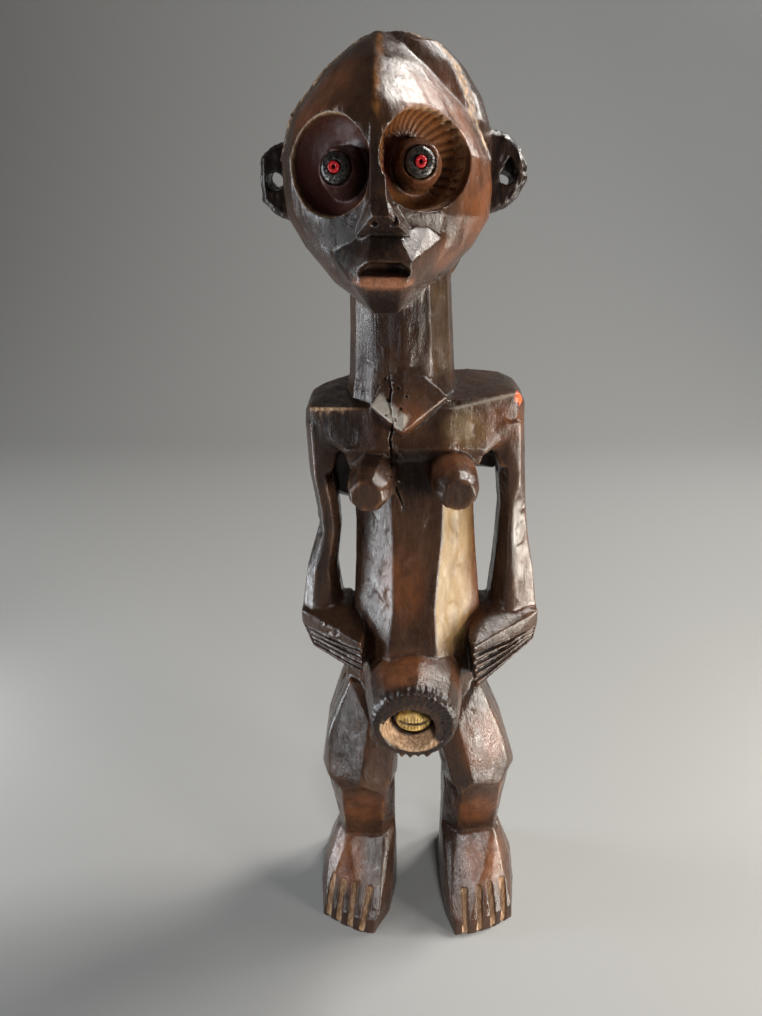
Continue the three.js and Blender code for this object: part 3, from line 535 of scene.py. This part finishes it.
def figure_fields(skin, split):
    """What the wood's shader reads: worn edges, painted shade in hollows and on shaded planes, bare wood, painted
    sheen and highlights, and patches of each colour.
    """
    p = skin.co
    x, y, z = p.T
    fine, broad = relief(skin, 6), relief(skin, 40)
    left, _ = socket_radius(p, SOCKETS["left"])
    right, _ = socket_radius(p, SOCKETS["right"])
    nearest = np.minimum(left, right)
    rims = ramp(np.abs(nearest - 1.0), 0.035, 0.01) * ramp(x, 24, 20)
    band = rim_band_weight(p)
    grooves = toe_groove_field(p) * ramp(relief(skin, 14), 0.02, -0.12)
    radius = navel_radius(p)
    low_left = ramp(0.8 * (x - NAVEL_RIM[0]) + (z - NAVEL_RIM[2]), 3, -2)
    bowl = ramp(y, -38.0, -39.2) * ramp(y, -44.9, -44.4) * ramp(radius, 12.2, 11.4) * ramp(radius, 7.4, 8.2) * low_left
    left_edge, _ = distance_to_path(p, [(-37.5, -14, 213.6), (-15, -18, 214.4)])
    left_edge = ramp(left_edge, 1.2, 0.4) * ramp(x, -14, -30)
    right_edge_highlight, _ = distance_to_path(p, [(13, -18, 214.3), (34, -13.6, 218.4)])
    right_edge_highlight = ramp(right_edge_highlight, 1.0, 0.3)
    wrist = blob(p, (-32, -16, 128), (8, 8, 4)) * ramp(noise(p, 1.7, 82), 0.0, 0.6)
    bare = rims * 0.55 + band * (0.45 + 0.4 * noise(p, 1.3, 81)) + grooves * 1.3 + bowl * 0.85 + left_edge * 0.9
    on_rim = ramp(y, -42, -44) * ramp(radius, 9, 10.5) * ramp(radius, 17, 15)
    ridge, _ = distance_to_path(p, RIDGE)
    _, angle = socket_radius(p, SOCKETS["right"])
    flutes = ramp(right, 0.55, 0.7) * ramp(right, 1.0, 0.97) * (0.3 + 0.7 * flute_ridge(p, angle))
    flutes *= ramp(x, -12.6, -11.6)
    ears = ear_weight(p)
    edges = ramp(fine, 0.07, 0.26) * 0.75 + ramp(broad, 0.5, 1.4) * 0.25
    grooves_between = finger_grooves(p)
    return {
        "worn": edges * (1 - 0.7 * ears) * (1 - 0.7 * ramp(left, 0.5, 0.4)),
        # painted warm sheen on the right-hand planes that face the lights
        "painted_sheen": painted_sheen_planes(skin),
        "lip": blob(p, (-11.5, -40.5, 255.6), (13, 7, 2.6)),
        "flute": flutes,
        # painted shade: darker in recesses, in the crack and the finger grooves, with painted shadows under the eye
        # stubs and on the chin
        "painted_shade": np.maximum.reduce([
            ramp(fine, -0.07, -0.26) * 0.7 + ramp(broad, -0.4, -1.6) * 0.5, split, grooves_between,
            patch_field(p, PAINTED_SHADOW_PATCHES)]),
        "bare": bare + wrist * 0.6,
        # painted highlight on the gorget's lower left facet and along the right shoulder edge
        "painted_highlight": gorget_painted_highlight(p) + 0.6 * right_edge_highlight,
        # soot on the ears and navel rim, and painted shade from the dark patches on shaded planes and undersides
        "soot_and_shade": np.maximum(patch_field(p, SOOT_AND_SHADE_PATCHES), ears + on_rim * 0.9),
        "warm": patch_field(p, WARM_PATCHES),
        "ridge": ramp(ridge, 1.3, 0.5),
        "red": ramp(left, 1.0, 0.93),
        "chip": blob(p, (35.8, -12.6, 217.0), (3.2, 4, 3.6)),
    }


TOE_GROOVES = {
    "left": [((-34.6, -26, 0), (-32.0, -19, 15)), ((-30.4, -29, 0), (-27.3, -21, 17)),
             ((-25.6, -31, 0), (-22.4, -24, 17)), ((-20.6, -33, 0), (-16.4, -25, 16))],
    "right": [((22.2, -34, 0), (22.4, -25, 18)), ((28.3, -33, 0), (28.6, -24, 17)),
              ((34.6, -31, 0), (32.8, -23, 16)), ((39.0, -28, 0), (38.6, -20, 15))],
}


def toe_groove_field(points):
    field = np.zeros(len(points))
    for ends in TOE_GROOVES["left"] + TOE_GROOVES["right"]:
        flat = points * [1, 0.55, 1]
        path = [np.array(end) * [1, 0.55, 1] for end in ends]
        distance, _ = distance_to_path(flat, path)
        field = np.maximum(field, ramp(distance, 2.2, 1.4))
    return field * (points[:, 1] < -12)


# ---- inlaid pieces ---------------------------------------------------------------------------

def eye_axis(side):
    base, tip = (np.array(EYES[side][key]) for key in ("base", "tip"))
    return (tip - base) / np.linalg.norm(tip - base)


def lumpy_copy(node, voxel, height, size, seed, rounds=6):
    """A CAD inlay as a hand-pressed lump."""
    skin = skin_of(node, voxel)
    skin.soften(rounds)
    skin.push(noise(skin.co, size, seed) * height + noise(skin.co, size / 2.5, seed + 1) * height * 0.5)
    skin.soften(1)
    # Painted shade field in the lump's recesses, and wear on its bumps.
    skin.fields = {"painted_shade": ramp(relief(skin, 8), 0, -0.12), "worn": ramp(relief(skin, 8), 0, 0.12)}
    return skin.write()


def bead_mesh(side, seed):
    """A drawn-glass seed bead: a plump ring, cut a little unevenly."""
    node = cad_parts["eye_bead_" + side]
    points = np.array([v.co for v in node.data.vertices]) * 1000 + ROW_ORIGIN
    middle = (points.min(axis=0) + points.max(axis=0)) / 2
    axis = eye_axis(side)
    across = np.cross(axis, [0, 0, 1])
    across /= np.linalg.norm(across)
    up = np.cross(across, axis)
    around, through = 64, 32
    ring, wall = np.meshgrid(np.arange(around), np.arange(through), indexing="ij")
    ring_angle, wall_angle = 2 * math.pi * ring / around, 2 * math.pi * wall / through
    power = 0.8
    swell = np.sign(np.cos(wall_angle)) * np.abs(np.cos(wall_angle)) ** power
    rise = np.sign(np.sin(wall_angle)) * np.abs(np.sin(wall_angle)) ** power
    radius = 1.1 + 0.57 * swell
    height = 0.86 * rise + 0.05 * np.cos(ring_angle + seed)
    wave = 1 + 0.03 * np.sin(2 * ring_angle + seed) + 0.015 * np.sin(5 * ring_angle)
    co = middle + (radius * wave * np.cos(ring_angle))[..., None] * across
    co += (radius * wave * np.sin(ring_angle))[..., None] * up + height[..., None] * axis
    faces = []
    for i in range(around):
        for j in range(through):
            i2, j2 = (i + 1) % around, (j + 1) % through
            faces.append((i * through + j, i * through + j2, i2 * through + j2, i2 * through + j))
    mesh = bpy.data.meshes.new("bead_" + side)
    mesh.from_pydata([tuple(v) for v in (co.reshape(-1, 3) - ROW_ORIGIN) / 1000], [], faces)
    work = bmesh.new()
    work.from_mesh(mesh)
    bmesh.ops.recalc_face_normals(work, faces=work.faces)
    work.to_mesh(mesh)
    work.free()
    mesh.shade_smooth()
    return mesh


def shell_mesh():
    """The cowrie's mouth side: a domed oval with a toothed slit along it."""
    skin = skin_of("navel_shell", 0.14)
    skin.soften(4)
    p = skin.co
    low, high = p.min(axis=0), p.max(axis=0)
    middle = (low + high) / 2
    half = (high - low) / 2
    u, v = (p[:, 0] - middle[0]) / half[0], (p[:, 2] - middle[2]) / half[2]
    facing = ramp(middle[1] - p[:, 1], 0.2, 1.6)
    bend = v - 0.16 * u * u + 0.05
    slit = ramp(np.abs(bend), 0.2, 0.06) * ramp(np.abs(u), 0.92, 0.8)
    skin.push(-0.7 * facing * slit)
    teeth = np.abs(np.sin(u * 17 + 0.5 * v))
    lips = ramp(np.abs(bend), 0.1, 0.2) * ramp(np.abs(bend), 0.75, 0.35) * ramp(np.abs(u), 0.95, 0.8)
    skin.push(-0.34 * facing * lips * (1 - teeth) ** 1.3)
    skin.push(0.04 * noise(skin.co, 0.9, 92))
    fine = relief(skin, 8)
    # Painted shade in the shell's recesses and along its slit.
    skin.fields = {"painted_shade": ramp(fine, 0.0, -0.1) + slit * facing, "worn": ramp(fine, 0, 0.1)}
    return skin.write()


# ---- materials -------------------------------------------------------------------------------

class Paint:
    """Short names for building one node material."""

    def __init__(self, name):
        self.material = bpy.data.materials.new(name)
        self.material.use_nodes = True
        self.tree = self.material.node_tree
        self.shader = self.tree.nodes["Principled BSDF"]

    def node(self, kind, inputs=None, **settings):
        made = self.tree.nodes.new(kind)
        for key, value in settings.items():
            setattr(made, key, value)
        for key, value in (inputs or {}).items():
            self.feed(made.inputs[key], value)
        return made

    def feed(self, socket, value):
        if isinstance(value, bpy.types.NodeSocket):
            self.tree.links.new(value, socket)
        else:
            socket.default_value = value

    def field(self, name):
        return self.node("ShaderNodeAttribute", attribute_name=name).outputs["Fac"]

    def place(self, scale=(1, 1, 1), tilt=0.0):
        """Object position in millimetres, leaned over by tilt and then stretched."""
        position = self.node("ShaderNodeTexCoord").outputs["Object"]
        if tilt:
            position = self.node("ShaderNodeMapping", {"Vector": position, "Rotation": (tilt, tilt, 0)}).outputs[0]
        stretch = tuple(1000 * s for s in scale)
        return self.node("ShaderNodeMapping", {"Vector": position, "Scale": stretch}).outputs["Vector"]

    def grain(self, size, scale=(1, 1, 1), detail=4.0, roughness=0.55, tilt=0.0):
        """Noise value 0..1 whose bumps are size mm across before stretching."""
        return self.node("ShaderNodeTexNoise", {
            "Vector": self.place(scale, tilt), "Scale": 1 / size, "Detail": detail, "Roughness": roughness,
        }).outputs["Fac"]

    def steps(self, value, low, high, to_low=0.0, to_high=1.0):
        return self.node("ShaderNodeMapRange", {
            "Value": value, "From Min": low, "From Max": high, "To Min": to_low, "To Max": to_high,
        }, interpolation_type="SMOOTHSTEP").outputs["Result"]

    def maths(self, kind, a, b=0.0):
        return self.node("ShaderNodeMath", {0: a, 1: b}, operation=kind).outputs[0]

    def blend(self, amount, a, b, kind="MIX"):
        mix = self.node("ShaderNodeMix", data_type="RGBA", blend_type=kind)
        self.feed(mix.inputs["Factor"], amount)
        for key, value in ((6, a), (7, b)):
            self.feed(mix.inputs[key], value if isinstance(value, bpy.types.NodeSocket) else (*value, 1))
        return mix.outputs[2]

    def bump(self, height, distance, strength=1.0, under=None):
        inputs = {"Height": height, "Distance": distance * 0.001, "Strength": strength}
        if under:
            inputs["Normal"] = under
        return self.node("ShaderNodeBump", inputs).outputs["Normal"]

    def finish(self, **values):
        for key, value in values.items():
            self.feed(self.shader.inputs[key.replace("_", " ")], value)
        return self.material


def wood_paint():
    """Dark waxed patina that wears to orange-brown on edges and to bare wood where it is chipped, with painted shade
    in hollows and on shaded planes, and a painted sheen and highlights on lit planes.
    """
    paint = Paint("wood")
    worn, painted_shade, bare = paint.field("worn"), paint.field("painted_shade"), paint.field("bare")
    soot_and_shade, warm, red, chip = (paint.field(name) for name in ("soot_and_shade", "warm", "red", "chip"))
    painted_sheen, lip, ridge, flute = (paint.field(name) for name in ("painted_sheen", "lip", "ridge", "flute"))
    painted_highlight = paint.field("painted_highlight")
    cloud = paint.grain(20, (1, 1, 0.6), 4.0)
    patch = paint.grain(6, (1, 1, 0.5), 5.0, 0.65)
    fibre = paint.grain(1.0, (1, 1, 0.07), 4.0, 0.6)
    speck = paint.grain(0.7, (1, 1, 0.5), 3.0, 0.7)
    strokes = paint.grain(0.55, (1, 1, 0.12), 3.0, 0.65, tilt=0.5)
    dents = paint.grain(1.6, (1, 1, 0.6), 4.0, 0.6)
    base = paint.blend(paint.steps(cloud, 0.36, 0.66), (0.023, 0.012, 0.008), (0.056, 0.026, 0.0145))
    warmth = paint.maths("MULTIPLY", warm, paint.steps(patch, 0.28, 0.62, 0.25, 1.0))
    base = paint.blend(warmth, base, (0.20, 0.070, 0.027))
    # Painted warm sheen: the right-hand planes facing the lights drawn lighter and golden.
    sheen_amount = paint.maths("MULTIPLY", painted_sheen, paint.steps(patch, 0.3, 0.6, 0.45, 0.8))
    base = paint.blend(sheen_amount, base, (0.34, 0.215, 0.08))
    base = paint.blend(paint.maths("MULTIPLY", red, 0.85), base, (0.085, 0.020, 0.014))
    # Soot on the ears, navel rim and eye stubs, and painted shade on the shaded planes and undersides.
    base = paint.blend(paint.maths("MULTIPLY", soot_and_shade, 0.85), base, (0.013, 0.0105, 0.010))
    base = paint.blend(paint.maths("MULTIPLY", flute, 0.85), base, (0.22, 0.085, 0.028))
    base = paint.blend(paint.steps(fibre, 0.45, 0.72, 0, 0.25), base, (0.13, 0.056, 0.024))
    base = paint.blend(paint.steps(strokes, 0.5, 0.72, 0, 0.35), base, (0.012, 0.007, 0.005))
    base = paint.blend(paint.maths("MULTIPLY", ridge, paint.steps(patch, 0.35, 0.6, 0.15, 0.8)), base, (0.30, 0.12, 0.03))
    wear = paint.maths("MULTIPLY", worn, paint.steps(patch, 0.42, 0.66, 0.0, 1.0))
    base = paint.blend(paint.maths("MULTIPLY", wear, 0.7), base, (0.30, 0.13, 0.05))
    base = paint.blend(paint.maths("MULTIPLY", lip, paint.steps(speck, 0.35, 0.6, 0.3, 0.9)), base, (0.32, 0.145, 0.085))
    # Painted shade, near black, in recesses, the crack and finger grooves, under the eye stubs and on the chin.
    base = paint.blend(paint.maths("MULTIPLY", painted_shade, 0.85), base, (0.007, 0.0045, 0.0035))
    raw = paint.blend(paint.steps(fibre, 0.4, 0.65), (0.30, 0.17, 0.09), (0.62, 0.42, 0.26))
    flaked = paint.maths("MULTIPLY", bare, paint.steps(speck, 0.2, 0.5, 0.5, 1))
    base = paint.blend(paint.steps(flaked, 0.1, 0.7), base, raw)
    base = paint.blend(paint.steps(paint.maths("MULTIPLY", chip, patch), 0.16, 0.3), base, (0.72, 0.13, 0.045))
    # Painted highlight: pale on the gorget's left facet and the right shoulder edge.
    base = paint.blend(paint.maths("MULTIPLY", painted_highlight, paint.steps(speck, 0.25, 0.5, 0.5, 1)), base, (0.50, 0.44, 0.37))
    rough = paint.steps(paint.grain(4, (1, 1, 0.5), 5.0, 0.65), 0.32, 0.68, 0.18, 0.36)
    rough = paint.maths("ADD", rough, paint.maths("MULTIPLY", bare, 0.35))
    rough = paint.maths("ADD", rough, paint.maths("MULTIPLY", painted_shade, 0.2))
    rough = paint.maths("ADD", rough, paint.maths("MULTIPLY", red, 0.15))
    rough = paint.maths("ADD", rough, paint.maths("MULTIPLY", painted_sheen, 0.15))
    normal = paint.bump(fibre, 0.14, 0.6)
    normal = paint.bump(strokes, 0.10, 0.8, normal)
    normal = paint.bump(dents, 0.10, 0.7, normal)
    normal = paint.bump(paint.grain(0.9, (1, 1, 0.7), 3.0, 0.7), 0.16, 0.5, normal)
    matt = paint.steps(paint.maths("ADD", painted_shade, paint.maths("MULTIPLY", soot_and_shade, 0.4)), 0, 1, 0.5, 0.15)
    return paint.finish(Base_Color=base, Roughness=rough, Normal=normal, IOR=1.45, Specular_IOR_Level=matt)


def resin_paint():
    paint = Paint("resin")
    cloud = paint.grain(1.6, detail=4.0)
    base = paint.blend(paint.steps(cloud, 0.35, 0.7), (0.008, 0.007, 0.0065), (0.05, 0.042, 0.036))
    base = paint.blend(paint.maths("MULTIPLY", paint.field("worn"), 0.5), base, (0.09, 0.078, 0.066))
    rough = paint.steps(paint.grain(0.8, detail=3.0), 0.3, 0.7, 0.16, 0.42)
    normal = paint.bump(paint.grain(0.55, detail=3.0), 0.16, 0.6)
    return paint.finish(Base_Color=base, Roughness=rough, Normal=normal)


def bead_paint():
    paint = Paint("glass_bead")
    base = paint.blend(paint.steps(paint.grain(0.7, detail=2.0), 0.4, 0.65), (0.42, 0.012, 0.018), (0.56, 0.03, 0.03))
    rough = paint.steps(paint.grain(0.4, detail=2.0), 0.3, 0.7, 0.14, 0.32)
    normal = paint.bump(paint.grain(0.35, detail=2.0), 0.02, 0.5)
    return paint.finish(Base_Color=base, Roughness=rough, Normal=normal, Subsurface_Weight=0.12,
                        Subsurface_Radius=(0.0012, 0.0004, 0.0004))


def shell_paint():
    paint = Paint("shell")
    cloud = paint.grain(2.4, (1, 1, 1.6), 4.0)
    base = paint.blend(paint.steps(cloud, 0.36, 0.66), (0.34, 0.20, 0.05), (0.74, 0.50, 0.15))
    # Painted shade, dark brown, in the shell's recesses and slit.
    base = paint.blend(paint.maths("MULTIPLY", paint.field("painted_shade"), 0.85), base, (0.05, 0.028, 0.012))
    rough = paint.steps(paint.grain(0.8), 0.3, 0.7, 0.28, 0.5)
    normal = paint.bump(paint.grain(0.5), 0.05, 0.5)
    return paint.finish(Base_Color=base, Roughness=rough, Normal=normal)


def packing_paint():
    paint = Paint("packing")
    base = paint.blend(paint.grain(0.9), (0.035, 0.02, 0.012), (0.10, 0.065, 0.04))
    rough = paint.steps(paint.grain(0.7), 0.3, 0.7, 0.8, 1.0)
    return paint.finish(Base_Color=base, Roughness=rough, Normal=paint.bump(paint.grain(0.6), 0.3, 0.8))


# ---- scene -----------------------------------------------------------------------------------

def stand_for(node, mesh, material):
    piece = add_object(node + "_look", mesh)
    mesh.materials.clear()
    mesh.materials.append(material)
    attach(piece, "root")
    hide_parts(node)


def build_doll():
    wood, resin, bead = wood_paint(), resin_paint(), bead_paint()
    fine = 0.16
    stand_for("carved_figure", carve_figure(), wood)
    for seed, side in ((101, "left"), (111, "right")):
        lump = lumpy_copy("eye_resin_" + side, fine, 0.16, 1.5, seed)
        stand_for("eye_resin_" + side, lump, resin)
        stand_for("eye_bead_" + side, bead_mesh(side, seed), bead)
    stand_for("navel_shell", shell_mesh(), shell_paint())
    stand_for("navel_resin", lumpy_copy("navel_resin", fine * 1.5, 0.3, 2.2, 121), resin)
    stand_for("navel_packing", lumpy_copy("navel_packing", fine * 2.5, 0.2, 2.5, 131), packing_paint())


def backdrop():
    """Pale seamless floor that curves up behind the figure."""
    width, near, far, height, bend = 4.0, -1.6, 1.5, 2.6, 0.7
    profile = [(near, 0.0), (far - bend, 0.0)]
    for i in range(1, 17):
        angle = math.pi / 2 * i / 16
        profile.append((far - bend + bend * math.sin(angle), bend - bend * math.cos(angle)))
    profile.append((far, height))
    verts = [(side * width / 2, y, z) for y, z in profile for side in (-1, 1)]
    faces = [(2 * i, 2 * i + 1, 2 * i + 3, 2 * i + 2) for i in range(len(profile) - 1)]
    mesh = bpy.data.meshes.new("backdrop")
    mesh.from_pydata(verts, [], faces)
    mesh.shade_smooth()
    paint = Paint("paper")
    mesh.materials.append(paint.finish(Base_Color=(0.33, 0.33, 0.325, 1), Roughness=0.9))
    add_object("backdrop", mesh)


def softbox(name, place, aim, size, power, tint=(1, 1, 1)):
    light = bpy.data.lights.new(name, "AREA")
    light.shape = "RECTANGLE"
    light.size, light.size_y = size
    light.energy = power
    light.color = tint
    hang(light, place, aim)


def spotlight(name, place, aim, radius, cone, power):
    light = bpy.data.lights.new(name, "SPOT")
    light.shadow_soft_size = radius
    light.spot_size = math.radians(cone)
    light.spot_blend = 0.6
    light.energy = power
    hang(light, place, aim)


def hang(light, place, aim):
    lamp = bpy.data.objects.new(light.name, light)
    bpy.context.scene.collection.objects.link(lamp)
    lamp.location = place
    lamp.rotation_euler = (Vector(aim) - Vector(place)).to_track_quat("-Z", "Y").to_euler()


def studio():
    softbox("high_right", (0.55, 0.30, 1.13), (0, 0, 0.22), (0.22, 0.26), 8.5, (1, 0.96, 0.9))
    softbox("right_side", (0.86, 0.30, 0.70), (0, 0, 0.25), (0.24, 0.2), 5, (1, 0.95, 0.88))
    softbox("low_right", (0.52, -0.38, 0.105), (0, 0, 0.09), (0.14, 0.17), 3.8, (1, 0.94, 0.86))
    softbox("floor_right", (0.40, -0.02, 0.058), (0.03, 0, 0.15), (0.15, 0.09), 1.3, (1, 0.94, 0.82))
    softbox("left_side", (-0.95, 0.06, 0.30), (0, 0, 0.16), (0.22, 0.45), 4.5, (0.90, 0.95, 1))
    softbox("low_left", (-0.52, -0.40, 0.10), (0, 0, 0.09), (0.10, 0.16), 1.0, (0.90, 0.95, 1))
    softbox("floor_left", (-0.38, 0.08, 0.045), (-0.03, 0, 0.14), (0.10, 0.07), 0.5, (0.90, 0.95, 1))
    softbox("wall_right", (1.2, 0.3, 1.3), (0.5, 1.4, 0.8), (0.5, 0.5), 12)
    spotlight("feet", (0.10, -0.70, 0.74), (0.03, -0.02, 0.02), 0.09, 15, 15)
    world = bpy.data.worlds.new("room")
    world.use_nodes = True
    world.node_tree.nodes["Background"].inputs["Color"].default_value = (0.8, 0.82, 0.85, 1)
    world.node_tree.nodes["Background"].inputs["Strength"].default_value = 0.06
    bpy.context.scene.world = world
    bpy.context.scene.view_settings.view_transform = "Standard"


def camera():
    """A phone's main camera at head height, tilted down, a hand's reach from the figure."""
    data = bpy.data.cameras.new("phone")
    data.sensor_width = 36
    data.lens = 27.03
    data.clip_start = 0.01
    eye = bpy.data.objects.new("phone", data)
    bpy.context.scene.collection.objects.link(eye)
    eye.location = (np.array([-12.0, -273.0, 265.0]) - ROW_ORIGIN) / 1000
    eye.rotation_euler = (math.radians(90 - 18.7), 0, 0)
    bpy.context.scene.camera = eye


build_doll()
backdrop()
studio()
camera()
